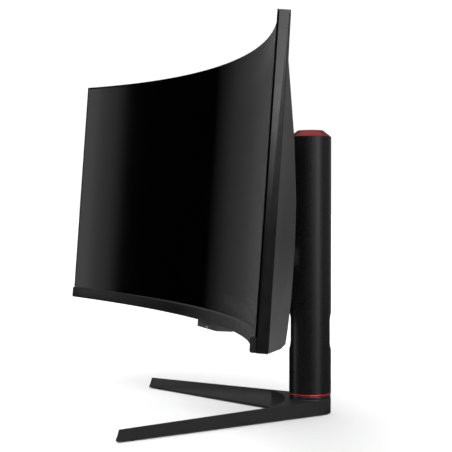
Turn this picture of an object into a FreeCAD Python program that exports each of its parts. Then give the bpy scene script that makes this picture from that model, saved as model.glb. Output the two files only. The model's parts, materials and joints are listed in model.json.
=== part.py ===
"""Curved ultrawide monitor on a round column with a V-shaped base.

Row frame: millimetres, +Z up, the origin on the desk at the column's axis, -Y towards the viewer,
+X to the viewer's right.  The stand faces -Y.  At rest the head is swivelled and tilted back, and
its pieces are drawn upright in the head's own frame: the origin at the middle of the screen's front,
+Y behind the screen, +Z up the screen.
"""
import FreeCAD, Part
import Sketcher
import math
import os

SIZES = {
    # stand base
    "foot_gap": 1.5,
    "tip_side": 214.7,
    "tip_front": 243.2,
    "tip_width": 6.0,
    "tip_height": 14.8,
    "tip_lean": 7.5,
    "leg_width": 52.0,
    "leg_height": 20.0,
    "leg_edge": 2.5,
    "hub_radius": 29.1,
    "hub_height": 21.0,
    "bowl_radius": 146.0,
    "bowl_front": 34.5,
    "bowl_slope": 17.0,
    "bowl_dip": 2.5,
    "ledge_reach": 84.0,
    "fork_reach": 49.3,
    "fork_side": 28.4,
    "fork_front": 61.1,
    # column
    "column_radius": 29.3,
    "cover_wall": 2.8,
    "seam": 0.3,
    "core_wall": 2.4,
    "collar_bottom": 22.5,
    "ring_bottom": 26.5,
    "column_bottom": 29.6,
    "column_top": 385.9,
    "cap_height": 9.4,
    "cap_flat_radius": 17.8,
    "hole_width": 22.5,
    "hole_height": 52.0,
    "hole_middle": 115.3,
    "liner_wall": 1.3,
    "slot_width": 23.0,
    "slot_bottom": 183.0,
    "slot_top": 342.0,
    "rod_radius": 4.0,
    "rod_side": 12.0,
    "rod_back": -5.2,
    # neck and hinge
    "tilt_axis_height": 302.6,
    "neck_reach": 48.0,
    "hinge_reach": 24.2,
    "screen_reach": 96.1,
    "swivel_at_rest": 22.5,
    "tilt_at_rest": 4.18,
    "arm_width": 20.0,
    "boss_radius": 13.0,
    "boss_half": 14.0,
    "prong_half": 22.0,
    "pin_radius": 4.0,
    "barrel_radius": 9.5,
    "ear_inside": 14.2,
    "ear_outside": 18.2,
    "block_half": 32.0,
    "drum_radius": 10.5,
    # head
    "head_height": 350.0,
    "head_arc": 822.0,
    "screen_radius": 950.0,
    "glass": 1.8,
    "chin_height": 16.6,
    "chin_proud": 5.0,
    "rim_wall": 2.4,
    "rim_front_top": 2.0,
    "rim_front_bottom": 2.0,
    "rim_back_top": 12.4,
    "rim_back_bottom": 14.3,
    "cover_thickness": 2.2,
    "hump_depth": 62.0,
    "hump_half": 108.0,
    "hump_foot_half": 186.0,
    "hump_foot_depth": 8.0,
    "hump_top": 70.0,
    "hump_foot_top": 112.0,
    "hump_bottom": 140.0,
    "hump_foot_bottom": 160.0,
    "recess_half": 62.0,
    "recess_floor": 50.0,
    "vesa_half": 50.0,
    "mount_plate_half": 39.0,
    "port_half": 70.0,
    "port_roof": 104.0,
    "port_depth": 44.0,
    "osd_half": 38.0,
    "osd_height": 11.0,
    "osd_front": 6.0,
    "osd_back": 30.0,
}


class Size:
    """A number together with the sheet expression that gives it."""

    def __init__(self, value, text=None):
        self.value = float(value)
        self.text = text if text else "(%r)" % float(value)

    def _with(self, other, sign, value):
        return Size(value, "(%s %s %s)" % (self.text, sign, other.text))

    def __add__(self, other):
        other = as_size(other)
        return self._with(other, "+", self.value + other.value)

    def __radd__(self, other):
        return as_size(other) + self

    def __sub__(self, other):
        other = as_size(other)
        return self._with(other, "-", self.value - other.value)

    def __rsub__(self, other):
        return as_size(other) - self

    def __mul__(self, other):
        other = as_size(other)
        return self._with(other, "*", self.value * other.value)

    def __rmul__(self, other):
        return as_size(other) * self

    def __truediv__(self, other):
        other = as_size(other)
        return self._with(other, "/", self.value / other.value)

    def __rtruediv__(self, other):
        return as_size(other) / self

    def __neg__(self):
        return Size(-self.value, "(0 - %s)" % self.text)


def as_size(number):
    return number if isinstance(number, Size) else Size(number)


doc = FreeCAD.newDocument("curved_monitor")
sheet = doc.addObject("Spreadsheet::Sheet", "sizes")
for row, (alias, number) in enumerate(SIZES.items(), start=1):
    sheet.set("A%d" % row, alias)
    sheet.set("B%d" % row, str(number))
    sheet.setAlias("B%d" % row, alias)
doc.recompute()


class Dimensions:
    """The sheet's cells, read by alias."""

    def __getattr__(self, alias):
        return Size(sheet.get(alias), "sizes." + alias)


s = Dimensions()
nodes = {}


def bind(thing, path, size):
    thing.setExpression(path, as_size(size).text)


def keep(name, thing, place=None):
    """Make thing the sub-part called name, standing at place."""
    if place is not None:
        if thing.isDerivedFrom("Part::Primitive"):
            thing = group(name + "_set", thing)
        thing.Placement = place
    thing.Label = name
    nodes[name] = thing
    return thing


# ---------------------------------------------------------------- plain solids


def box(name, low, high):
    """A box between two corners."""
    block = doc.addObject("Part::Box", name)
    for side, path in enumerate(("Length", "Width", "Height")):
        bind(block, path, as_size(high[side]) - low[side])
        bind(block, "Placement.Base." + "xyz"[side], low[side])
    return block


TURNS = {
    "x": FreeCAD.Rotation(FreeCAD.Vector(0, 1, 0), 90),
    "y": FreeCAD.Rotation(FreeCAD.Vector(1, 0, 0), -90),
    "z": FreeCAD.Rotation(),
}


def cylinder(name, start, radius, length, along="z"):
    """A cylinder that starts at a point and runs along an axis."""
    rod = doc.addObject("Part::Cylinder", name)
    rod.Placement = FreeCAD.Placement(FreeCAD.Vector(), TURNS[along])
    bind(rod, "Radius", radius)
    bind(rod, "Height", length)
    for side in range(3):
        bind(rod, "Placement.Base." + "xyz"[side], start[side])
    return rod


def cone(name, start, radius_low, radius_high, length):
    frustum = doc.addObject("Part::Cone", name)
    bind(frustum, "Radius1", radius_low)
    bind(frustum, "Radius2", radius_high)
    bind(frustum, "Height", length)
    for side in range(3):
        bind(frustum, "Placement.Base." + "xyz"[side], start[side])
    return frustum


def fuse(name, *shapes):
    joined = doc.addObject("Part::MultiFuse", name)
    joined.Shapes = list(shapes)
    return joined


def weld(name, first, *others):
    """Overlapping solids joined outright, for lofts whose walls only just meet."""
    doc.recompute()
    joined = doc.addObject("Part::Feature", name)
    joined.Shape = first.Shape.fuse([other.Shape for other in others])
    return joined


def group(name, *shapes):
    """Separate solids that share one node."""
    several = doc.addObject("Part::Compound", name)
    several.Links = list(shapes)
    return several


def cut(name, shape, *tools):
    taken = doc.addObject("Part::Cut", name)
    taken.Base = shape
    taken.Tool = tools[0] if len(tools) == 1 else fuse(name + "_tools", *tools)
    return taken


def common(name, shape, limit):
    shared = doc.addObject("Part::Common", name)
    shared.Base = shape
    shared.Tool = limit
    return shared


def tube(name, start, outer, inner, length, along="z"):
    wall = cylinder(name + "_outside", start, outer, length, along)
    hollow = cylinder(name + "_inside", start, inner, length, along)
    return cut(name, wall, hollow)


def oblong(name, middle, wide, tall, start, length):
    """An upright oblong prism, round at its top and bottom, running along +Y from start."""
    half = as_size(wide) / 2
    rise = as_size(tall) / 2 - half
    finish = start + as_size(length)
    body = box(name + "_body", (-half, start, middle - rise), (half, finish, middle + rise))
    low = cylinder(name + "_low", (0, start, middle - rise), half, length, "y")
    high = cylinder(name + "_high", (0, start, middle + rise), half, length, "y")
    return fuse(name, body, low, high)


# ---------------------------------------------------------------- sketched bodies


def new_body(name):
    return doc.addObject("PartDesign::Body", name)


def sketch_on(body, name, role, ahead=0, aside=0):
    """A sketch on one of the body's origin planes, moved ahead on its normal and aside on its x."""
    sketch = body.newObject("Sketcher::SketchObject", name)
    plane = [feature for feature in body.Origin.OriginFeatures if feature.Role == role][0]
    sketch.AttachmentSupport = [(plane, "")]
    sketch.MapMode = "FlatFace"
    bind(sketch, "AttachmentOffset.Base.z", ahead)
    bind(sketch, "AttachmentOffset.Base.x", aside)
    return sketch


def pin_down(sketch, element, end, point):
    """Fix one end of an element at a point given by two sizes."""
    for kind, size in zip(("DistanceX", "DistanceY"), point):
        size = as_size(size)
        index = sketch.addConstraint(Sketcher.Constraint(kind, -1, 1, element, end, size.value))
        bind(sketch, "Constraints[%d]" % index, size)


def outline(sketch, points):
    """A closed outline.  A point's third entry makes the side that follows it an arc of that rise,
    bulging to the left of the way from this point to the next, or to the right if it is negative."""
    ends = []
    for here, after in zip(points, points[1:] + points[:1]):
        first = FreeCAD.Vector(as_size(here[0]).value, as_size(here[1]).value, 0)
        last = FreeCAD.Vector(as_size(after[0]).value, as_size(after[1]).value, 0)
        if len(here) == 2:
            element = sketch.addGeometry(Part.LineSegment(first, last))
        else:
            element = add_arc(sketch, here, after, first, last)
        away = [(sketch.getPoint(element, end) - first).Length for end in (1, 2)]
        swapped = away[0] > away[1]
        ends.append((element, 2, 1) if swapped else (element, 1, 2))
    for (element, start, _), point in zip(ends, points):
        pin_down(sketch, element, start, point)
    for (element, _, finish), (following, start, _) in zip(ends, ends[1:] + ends[:1]):
        sketch.addConstraint(Sketcher.Constraint("Coincident", element, finish, following, start))


def add_arc(sketch, here, after, first, last):
    rise = as_size(here[2])
    along = last - first
    left = FreeCAD.Vector(-along.y, along.x, 0).normalize()
    middle = (first + last) * 0.5 + left * rise.value
    element = sketch.addGeometry(Part.Arc(first, middle, last))
    run = as_size(after[0]) - here[0]
    climb = as_size(after[1]) - here[1]
    size = -rise if rise.value < 0 else rise
    radius = ((run * run + climb * climb) / 4 + size * size) / (2 * size)
    index = sketch.addConstraint(Sketcher.Constraint("Radius", element, radius.value))
    bind(sketch, "Constraints[%d]" % index, radius)
    return element


def pad(body, name, sketch, length, symmetric=False):
    feature = body.newObject("PartDesign::Pad", name)
    feature.Profile = sketch
    feature.Midplane = symmetric
    bind(feature, "Length", length)
    return feature


def pocket(body, name, sketch, length):
    """A pocket that goes equally both ways from its sketch."""
    feature = body.newObject("PartDesign::Pocket", name)
    feature.Profile = sketch
    feature.Midplane = True
    bind(feature, "Length", length)
    return feature


def loft(body, name, sketches, kind="PartDesign::AdditiveLoft"):
    feature = body.newObject(kind, name)
    feature.Profile = sketches[0]
    feature.Sections = sketches[1:]
    feature.Ruled = True
    return feature


def bend(body, name, profile, half_angle, kind="PartDesign::Revolution"):
    """Sweep a depth-and-height profile along the screen's curve, half_angle to each side.

    The profile's x is the depth behind the screen's front and its y is the height."""
    sketch = sketch_on(body, name + "_profile", "YZ_Plane", aside=-s.screen_radius)
    outline(sketch, [(point[0] + s.screen_radius,) + tuple(point[1:]) for point in profile])
    feature = body.newObject(kind, name)
    feature.Profile = sketch
    feature.ReferenceAxis = (sketch, ["V_Axis"])
    feature.Midplane = True
    bind(feature, "Angle", 2 * half_angle)
    return feature


HEAD_ANGLE = s.head_arc / s.screen_radius * (90 / math.pi)
HALF_HEIGHT = s.head_height / 2
MILLIMETRE = (180 / math.pi) / s.screen_radius


def rectangle(low, high):
    return [(low[0], low[1]), (high[0], low[1]), (high[0], high[1]), (low[0], high[1])]


def curved_slab(name, front, back, bottom, top, inset=0):
    """A sheet that follows the screen's curve."""
    body = new_body(name)
    profile = rectangle((as_size(front), bottom), (as_size(back), top))
    bend(body, name + "_sheet", profile, HEAD_ANGLE - inset * MILLIMETRE)
    return body


# ---------------------------------------------------------------- places


def head_place():
    """Where the head's own frame stands at rest."""
    height = s.tilt_axis_height.value
    reach = s.neck_reach.value
    origin = FreeCAD.Vector(0, -reach - s.screen_reach.value, height)
    tilt_point = FreeCAD.Vector(0, -reach - s.hinge_reach.value, height)
    upright = FreeCAD.Placement(origin, FreeCAD.Rotation())
    tilt_turn = FreeCAD.Rotation(FreeCAD.Vector(1, 0, 0), -s.tilt_at_rest.value)
    tilt = FreeCAD.Placement(FreeCAD.Vector(), tilt_turn, tilt_point)
    return swivel_turn().multiply(tilt).multiply(upright)


def swivel_turn():
    turn = FreeCAD.Rotation(FreeCAD.Vector(0, 0, 1), s.swivel_at_rest.value)
    return FreeCAD.Placement(FreeCAD.Vector(), turn, FreeCAD.Vector(0, -s.neck_reach.value, 0))


def knuckle_place():
    """The swivelling part's own frame: the origin on the swivel axis at the tilt axis's height."""
    centre = FreeCAD.Vector(0, -s.neck_reach.value, s.tilt_axis_height.value)
    return swivel_turn().multiply(FreeCAD.Placement(centre, FreeCAD.Rotation()))


def neck_place():
    return FreeCAD.Placement(FreeCAD.Vector(0, 0, s.tilt_axis_height.value), FreeCAD.Rotation())


HEAD = head_place()
KNUCKLE = knuckle_place()
NECK = neck_place()
FLOOR = FreeCAD.Placement(FreeCAD.Vector(0, 0, s.foot_gap.value), FreeCAD.Rotation())


# ---------------------------------------------------------------- base


def leg_direction():
    """The right leg's outer wall leaves the round hub as a tangent: its start and its direction."""
    tip = FreeCAD.Vector(s.tip_side.value, -s.tip_front.value, 0)
    bearing = math.atan2(tip.y, tip.x) + math.acos(s.hub_radius.value / tip.Length)
    start = FreeCAD.Vector(math.cos(bearing), math.sin(bearing), 0) * s.hub_radius.value
    return start, tip, (tip - start).normalize()


def leg_section(name, point, inward, lean, wide, tall, rim, dip):
    """A leg's section: an upright outer wall, a flat rim and a hollow slope to a thin inner edge."""
    sketch = doc.addObject("Sketcher::SketchObject", name)
    upright = FreeCAD.Rotation(FreeCAD.Vector(1, 0, 0), 90 + lean)
    heading = FreeCAD.Rotation(FreeCAD.Vector(0, 0, 1), math.degrees(math.atan2(inward.y, inward.x)))
    sketch.Placement = FreeCAD.Placement(point, heading.multiply(upright))
    outline(sketch, [(0, 0), (wide, 0), (wide, s.leg_edge, dip), (rim, tall), (0, tall)])
    return sketch


def leg_solid():
    start, tip, along = leg_direction()
    inward = FreeCAD.Vector(along.y, -along.x, 0)
    root = leg_section("leg_root", start, inward, 0, s.leg_width, s.leg_height, 3.5, 5.0)
    end = leg_section("leg_end", tip, inward, s.tip_lean.value, s.tip_width, s.tip_height, 1.8, 0.5)
    leg = doc.addObject("Part::Loft", "leg_right")
    leg.Sections = [root, end]
    leg.Solid = True
    leg.Ruled = True
    return leg


def footprint(name, tall, inset=0.0):
    """The V's outline as a plate: two tangents from the hub, and a round fork between the legs.
    The outer walls can be drawn a little inside the legs' own."""
    start, tip, along = leg_direction()
    inward = FreeCAD.Vector(along.y, -along.x, 0)
    start = start + inward * inset
    inner = tip + inward * s.tip_width.value
    outer = tip + inward * inset
    plate = doc.addObject("Sketcher::SketchObject", name + "_outline")
    outline(plate, [
        (start.x, start.y, start.y - s.hub_radius + inset),
        (-start.x, start.y),
        (-outer.x, outer.y),
        (-inner.x, inner.y),
        (-s.fork_side, -s.fork_front, s.fork_front - s.fork_reach),
        (s.fork_side, -s.fork_front),
        (inner.x, inner.y),
        (outer.x, outer.y),
    ])
    prism = doc.addObject("Part::Extrusion", name)
    prism.Base = plate
    prism.DirMode = "Normal"
    prism.Solid = True
    bind(prism, "LengthFwd", tall)
    return prism


def above_leg():
    """Everything above the right leg's rim, from its root to its tip."""
    start, tip, along = leg_direction()
    heading = FreeCAD.Rotation(FreeCAD.Vector(0, 0, 1), math.degrees(math.atan2(-along.x, along.y)))
    upright = FreeCAD.Rotation(FreeCAD.Vector(1, 0, 0), 90)
    sections = []
    for name, point, tall in (("above_root", start, s.leg_height), ("above_tip", tip, s.tip_height)):
        sketch = doc.addObject("Sketcher::SketchObject", name)
        sketch.Placement = FreeCAD.Placement(point, heading.multiply(upright))
        outline(sketch, [(-6, tall), (120, tall), (120, 60), (-6, 60)])
        sections.append(sketch)
    above = doc.addObject("Part::Loft", "above_right")
    above.Sections = sections
    above.Solid = True
    above.Ruled = True
    return above


def mirrored(name, source):
    mirror = doc.addObject("Part::Mirroring", name)
    mirror.Source = source
    mirror.Normal = FreeCAD.Vector(1, 0, 0)
    return mirror


def shoulder():
    """The raised ledge round the foot of the column: a plate with a round bowl let into its front."""
    body = new_body("bowl_body")
    sketch = sketch_on(body, "bowl_profile", "XZ_Plane")
    clear = s.leg_height + 1.0
    outline(sketch, [
        (0, s.leg_edge),
        (s.bowl_radius - s.bowl_slope, s.leg_edge, -s.bowl_dip),
        (s.bowl_radius, s.leg_height),
        (s.bowl_radius, clear),
        (0, clear),
    ])
    turned = body.newObject("PartDesign::Revolution", "bowl_turned")
    turned.Profile = sketch
    turned.ReferenceAxis = (sketch, ["V_Axis"])
    turned.Angle = 360
    middle = -s.bowl_front.value - s.bowl_radius.value
    body.Placement = FreeCAD.Placement(FreeCAD.Vector(0, middle, 0), FreeCAD.Rotation())
    plate = footprint("ledge_plate", s.leg_height, 1.0)
    limit = box("ledge_limit", (-120, -s.ledge_reach, 0), (120, 40, 30))
    above = above_leg()
    whole = cut("ledge_round", plate, body, above, mirrored("above_left", above))
    return common("ledge", whole, limit)


SCREW_CIRCLE = 14.0
SCREW_TURNS = [math.radians(turn) for turn in (90, 210, 330)]
SCREW_SPOTS = [(SCREW_CIRCLE * math.cos(turn), SCREW_CIRCLE * math.sin(turn)) for turn in SCREW_TURNS]


def pad_spots():
    """Where the foot pads sit: two near the tips, two under the legs' roots, one under the column."""
    start, tip, along = leg_direction()
    inward = FreeCAD.Vector(along.y, -along.x, 0)
    near_tip = tip - along * 22.0 + inward * 4.6
    near_root = start + along * 40.0 + inward * 13.0
    return [(side * spot.x, spot.y) for spot in (near_tip, near_root) for side in (1, -1)] + [(0, 0)]


PAD_RADII = (2.8, 2.8, 7.0, 7.0, 7.0)


def make_base():
    right = leg_solid()
    left = mirrored("leg_left", right)
    hub = cylinder("hub", (0, 0, 0), s.hub_radius, s.hub_height)
    web = footprint("web", s.leg_edge)
    whole = weld("base_whole", web, right, left, hub, shoulder())
    tools = []
    for number, (x, y) in enumerate(SCREW_SPOTS):
        tools.append(cylinder("screw_way_%d" % number, (x, y, 0), 3.3, s.hub_height))
        tools.append(cylinder("screw_well_%d" % number, (x, y, 0), 6.0, 8.0))
    for number, ((x, y), radius) in enumerate(zip(pad_spots(), PAD_RADII)):
        tools.append(cylinder("pad_well_%d" % number, (x, y, 0), radius + 0.1, 1.0))
    keep("base_frame", cut("base_cut", whole, *tools), FLOOR)


def make_foot_pads():
    pads = []
    for number, ((x, y), radius) in enumerate(zip(pad_spots(), PAD_RADII)):
        pads.append(cylinder("pad_%d" % number, (x, y, 0), radius, s.foot_gap + 1.0))
    keep("foot_pads", group("pads", *pads))


def make_base_screws():
    screws = []
    for number, (x, y) in enumerate(SCREW_SPOTS):
        head = cylinder("base_head_%d" % number, (x, y, s.foot_gap + 4.0), 5.0, 4.0)
        shank = cylinder("base_shank_%d" % number, (x, y, s.foot_gap + 8.0), 2.95, 26.0)
        socket = cylinder("base_socket_%d" % number, (x, y, s.foot_gap + 4.0), 2.3, 2.2)
        screws.append(cut("base_screw_%d" % number, fuse("base_bolt_%d" % number, head, shank), socket))
    keep("base_screws", group("screws", *screws))


# ---------------------------------------------------------------- column


CORE_OUTER = s.column_radius - s.cover_wall - 0.2
CORE_INNER = CORE_OUTER - s.core_wall


def make_column_foot():
    body = cylinder("foot_body", (0, 0, s.collar_bottom), CORE_INNER - 0.1, 60.0)
    holes = []
    for number, (x, y) in enumerate(SCREW_SPOTS):
        holes.append(cylinder("foot_thread_%d" % number, (x, y, s.collar_bottom), 3.0, 18.0))
    hollow = cylinder("foot_hollow", (0, 0, s.collar_bottom + 24.0), 17.0, 40.0)
    keep("column_foot", cut("foot_cut", body, hollow, *holes))


def make_rings():
    tall = s.ring_bottom - s.collar_bottom
    collar = tube("collar", (0, 0, s.collar_bottom), s.column_radius - 0.6, CORE_INNER, tall)
    keep("foot_collar", collar)
    body = new_body("ring_body")
    sketch = sketch_on(body, "ring_profile", "XZ_Plane")
    low = s.ring_bottom
    high = s.column_bottom
    crown = 0.7
    outline(sketch, [
        (CORE_INNER, low),
        (s.column_radius - crown, low, -crown),
        (s.column_radius - crown, high),
        (CORE_INNER, high),
    ])
    turned = body.newObject("PartDesign::Revolution", "ring_turned")
    turned.Profile = sketch
    turned.ReferenceAxis = (sketch, ["V_Axis"])
    turned.Angle = 360
    keep("accent_ring", body)


def neck_slot(name, extra):
    half = s.slot_width / 2 + extra
    return box(name, (-half, -40, s.slot_bottom - extra), (half, 0, s.slot_top + extra))


def make_core():
    start = (0, 0, s.column_bottom)
    wall = tube("core_tube", start, CORE_OUTER, CORE_INNER, s.column_top - s.column_bottom - 2.0)
    hole = oblong("core_hole", s.hole_middle, s.hole_width + 8.0, s.hole_height + 8.0, -40, 80)
    keep("column_core", cut("core_cut", wall, hole, neck_slot("core_slot", 1.5)))


def column_cover(name, low, high, tools):
    start = (0, 0, s.column_bottom)
    tall = s.column_top - s.column_bottom
    shell = tube(name + "_tube", start, s.column_radius, CORE_OUTER + 0.1, tall)
    half = box(name + "_half", (-40, low, 0), (40, high, 400))
    hole = oblong(name + "_hole", s.hole_middle, s.hole_width + 3.0, s.hole_height + 3.0, -40, 80)
    keep(name, cut(name + "_cut", common(name + "_side", shell, half), hole, *tools))


def make_covers():
    gap = s.seam / 2
    column_cover("front_column_cover", -40, -gap, [neck_slot("front_slot", 0)])
    column_cover("rear_column_cover", gap, 40, [])


def make_hole_liner():
    both = 2 * s.liner_wall
    outside = oblong("liner_outside", s.hole_middle, s.hole_width + both, s.hole_height + both, -40, 80)
    inside = oblong("liner_inside", s.hole_middle, s.hole_width, s.hole_height, -41, 82)
    limit = cylinder("liner_limit", (0, 0, 0), s.column_radius - 0.05, 200)
    keep("cable_hole_liner", cut("liner_cut", common("liner_round", outside, limit), inside))


def make_cap():
    skirt = cylinder("cap_spigot", (0, 0, s.column_top - 6.0), CORE_INNER - 0.3, 6.0)
    foot = (0, 0, s.column_top + 0.3)
    slope = cone("cap_slope", foot, s.column_radius, s.cap_flat_radius, s.cap_height - 0.3)
    band = cylinder("cap_band", (0, 0, s.column_top), s.column_radius - 0.4, 0.3)
    keep("top_cap", fuse("cap", skirt, band, slope))


PLATE_BOTTOM = s.column_top - 19.0
BULKHEAD_BOTTOM = s.hole_middle + s.hole_height / 2 + 3.0


def rods(name, radius, low, high):
    pair = []
    for number, side in enumerate((-1, 1)):
        start = (side * s.rod_side, s.rod_back, low)
        pair.append(cylinder("%s_%d" % (name, number), start, radius, high - low))
    return pair


def make_lift_frame():
    high = s.column_top - 13.0
    plate = cylinder("plate_body", (0, 0, PLATE_BOTTOM), CORE_INNER - 0.1, high - PLATE_BOTTOM)
    keep("rod_top_plate", cut("plate_cut", plate, *rods("plate_way", s.rod_radius, PLATE_BOTTOM, high)))
    low = BULKHEAD_BOTTOM
    bulkhead = cylinder("bulkhead_body", (0, 0, low), CORE_INNER - 0.1, 14.0)
    ways = rods("bulkhead_way", s.rod_radius, low + 4.0, low + 14.0)
    keep("rod_bulkhead", cut("bulkhead_cut", bulkhead, *ways))
    keep("guide_rods", group("rod_pair", *rods("rod", s.rod_radius, low + 4.0, high)))
    bolts = []
    for number, side in enumerate((-1, 1)):
        bolts.append(cylinder("plate_bolt_%d" % number, (side * s.rod_side, s.rod_back, high), 5.5, 3.0))
    keep("rod_nuts", group("nuts", *bolts))


STRIP_FRONT = 13.2
DRUM_BACK = 2.8


def make_spring_strip():
    front = STRIP_FRONT + 0.15
    low = s.tilt_axis_height + 1.0
    keep("spring_strip", box("strip", (-5.5, front, low), (5.5, front + 0.4, PLATE_BOTTOM)))


# ---------------------------------------------------------------- carriage, drawn about the tilt axis


def make_carriage():
    body = box("block_body", (-17, -12, -s.block_half), (17, 15.4, s.block_half))
    ways = rods("bush_way", 5.6, -s.block_half, s.block_half)
    window = box("drum_window", (-7.6, -8.6, -13), (7.6, 16, 13))
    groove = box("strip_groove", (-6.6, 12.4, 0), (6.6, 16, s.block_half + 1))
    axle_way = cylinder("axle_way", (-17, DRUM_BACK, 0), 2.0, 34, "x")
    bolt_ways = []
    for number, height in enumerate((-24, 24)):
        bolt_ways.append(cylinder("bolt_way_%d" % number, (0, -12, height), 2.5, 20, "y"))
        bolt_ways.append(cylinder("bolt_well_%d" % number, (0, 5, height), 4.5, 12, "y"))
    block = cut("block_cut", body, window, groove, axle_way, *ways, *bolt_ways)
    keep("carriage_block", block, NECK)


def make_bushes():
    bushes = []
    for number, low in enumerate((-s.block_half, s.block_half - 14.0)):
        for side, x in enumerate((-s.rod_side, s.rod_side)):
            name = "bush_%d_%d" % (number, side)
            bushes.append(tube(name, (x, s.rod_back, low), 5.55, s.rod_radius + 0.05, 14.0))
    keep("carriage_bushes", group("bushes", *bushes), NECK)


def make_neck_arm():
    half = s.arm_width / 2
    web = box("arm_web", (-half, -34.4, -20), (half, -12, 20))
    prongs = []
    for number, low in enumerate((s.boss_half + 0.6, -s.prong_half)):
        thick = s.prong_half - s.boss_half - 0.6
        prongs.append(box("prong_%d" % number, (-half, -s.neck_reach, low), (half, -30, low + thick)))
        prongs.append(cylinder("prong_round_%d" % number, (0, -s.neck_reach, low), s.boss_radius, thick))
    flange = box("arm_flange", (-half + 1, -14.5, -29), (half - 1, -12, 29))
    pin_way = cylinder("arm_pin_way", (0, -s.neck_reach, -s.prong_half), s.pin_radius, 2 * s.prong_half)
    threads = []
    for number, height in enumerate((-24, 24)):
        threads.append(cylinder("arm_thread_%d" % number, (0, -14.6, height), 2.5, 3, "y"))
    keep("neck_arm", cut("arm_cut", fuse("arm_whole", web, flange, *prongs), pin_way, *threads), NECK)


def make_neck_bolts():
    bolts = []
    for number, height in enumerate((-24, 24)):
        shank = cylinder("neck_shank_%d" % number, (0, -14.5, height), 2.45, 19.5, "y")
        head = cylinder("neck_head_%d" % number, (0, 5, height), 4.3, 4.0, "y")
        socket = cylinder("neck_socket_%d" % number, (0, 7, height), 1.8, 2.1, "y")
        bolts.append(cut("neck_bolt_%d" % number, fuse("neck_stud_%d" % number, shank, head), socket))
    keep("neck_bolts", group("bolts", *bolts), NECK)


def make_spring_drum():
    keep("drum_axle", cylinder("drum_pin", (-16.8, DRUM_BACK, 0), 1.95, 33.6, "x"), NECK)
    wound = tube("wound_strip", (-5.5, DRUM_BACK, 0), s.drum_radius, 4.6, 11, "x")
    keep("spring_coil", wound, NECK)
    hub = tube("drum_hub_tube", (-6.9, DRUM_BACK, 0), 4.5, 2.0, 13.8, "x")
    keep("drum_hub", hub, NECK)


# ---------------------------------------------------------------- swivel and tilt hinge


def make_swivel():
    centre = (0, -s.neck_reach, -s.prong_half)
    shaft = cylinder("swivel_shaft", centre, s.pin_radius - 0.05, 2 * s.prong_half + 0.8)
    head = cylinder("swivel_head", (0, -s.neck_reach, s.prong_half + 0.1), 6.5, 2.4)
    keep("swivel_pin", fuse("swivel_whole", shaft, head), NECK)
    washers = []
    for number, low in enumerate((s.boss_half + 0.05, -s.boss_half - 0.55)):
        start = (0, -s.neck_reach, low)
        washers.append(tube("swivel_washer_%d" % number, start, 11.0, s.pin_radius + 0.1, 0.5))
    keep("swivel_washers", group("swivel_pair", *washers), NECK)


def make_knuckle():
    """The boss on the swivel pin, and the barrel that the tilt pin goes through."""
    boss = cylinder("knuckle_boss", (0, 0, -s.boss_half), s.boss_radius, 2 * s.boss_half)
    neck = box("knuckle_neck", (-11, -s.hinge_reach, -9.0), (11, 0, 9.0))
    half = s.ear_inside - 0.7
    barrel = cylinder("knuckle_barrel", (-half, -s.hinge_reach, 0), s.barrel_radius, 2 * half, "x")
    swivel_way = cylinder("knuckle_swivel_way", (0, 0, -20), s.pin_radius + 0.05, 40)
    tilt_way = cylinder("knuckle_tilt_way", (-20, -s.hinge_reach, 0), s.pin_radius + 0.05, 40, "x")
    whole = fuse("knuckle_whole", boss, neck, barrel)
    keep("swivel_knuckle", cut("knuckle_cut", whole, swivel_way, tilt_way), KNUCKLE)


TILT_DEPTH = s.screen_reach - s.hinge_reach


def make_tilt_hinge():
    half = s.ear_outside + 0.2
    shaft = cylinder("tilt_shaft", (-half, TILT_DEPTH, 0), s.pin_radius, 2 * half, "x")
    ends = []
    for number, start in enumerate((-half - 2.2, half)):
        ends.append(cylinder("tilt_end_%d" % number, (start, TILT_DEPTH, 0), 6.0, 2.2, "x"))
    keep("tilt_pin", fuse("tilt_whole", shaft, *ends), HEAD)
    washers = []
    for number, side in enumerate((s.ear_inside - 0.6, -s.ear_inside + 0.1)):
        start = (side, TILT_DEPTH, 0)
        washers.append(tube("tilt_washer_%d" % number, start, 8.0, s.pin_radius + 0.1, 0.5, "x"))
    keep("tilt_washers", group("tilt_pair", *washers), HEAD)


def make_tilt_bracket():
    """A base plate with two ears that hold the tilt pin."""
    low = s.recess_floor + 4.2
    parts = [box("bracket_plate", (-26, low, -26), (26, low + 3.0, 26))]
    for number, start in enumerate((-s.ear_outside, s.ear_inside)):
        thick = s.ear_outside - s.ear_inside
        parts.append(box("ear_%d" % number, (start, low, -9), (start + thick, TILT_DEPTH, 9)))
        parts.append(cylinder("ear_round_%d" % number, (start, TILT_DEPTH, 0), 9.0, thick, "x"))
    way = cylinder("bracket_pin_way", (-25, TILT_DEPTH, 0), s.pin_radius + 0.03, 50, "x")
    screws = []
    for number, (x, z) in enumerate(BRACKET_SPOTS):
        screws.append(cylinder("bracket_way_%d" % number, (x, low - 1, z), 2.1, 5, "y"))
    keep("tilt_bracket", cut("bracket_cut", fuse("bracket_whole", *parts), way, *screws), HEAD)


BRACKET_SPOTS = [(x, z) for x in (-21.5, 21.5) for z in (-20, 20)]


def make_bracket_screws():
    low = s.recess_floor + 0.6
    screws = []
    for number, (x, z) in enumerate(BRACKET_SPOTS):
        shank = cylinder("bracket_shank_%d" % number, (x, low, z), 1.95, 6.6, "y")
        head = cylinder("bracket_head_%d" % number, (x, low + 6.6, z), 3.8, 2.2, "y")
        socket = cylinder("bracket_socket_%d" % number, (x, low + 7.6, z), 1.5, 1.3, "y")
        stud = fuse("bracket_stud_%d" % number, shank, head)
        screws.append(cut("bracket_screw_%d" % number, stud, socket))
    keep("bracket_screws", group("bracket_set", *screws), HEAD)


LATCH_HALF = 9.0
LATCH_TOP = -28.5


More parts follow.
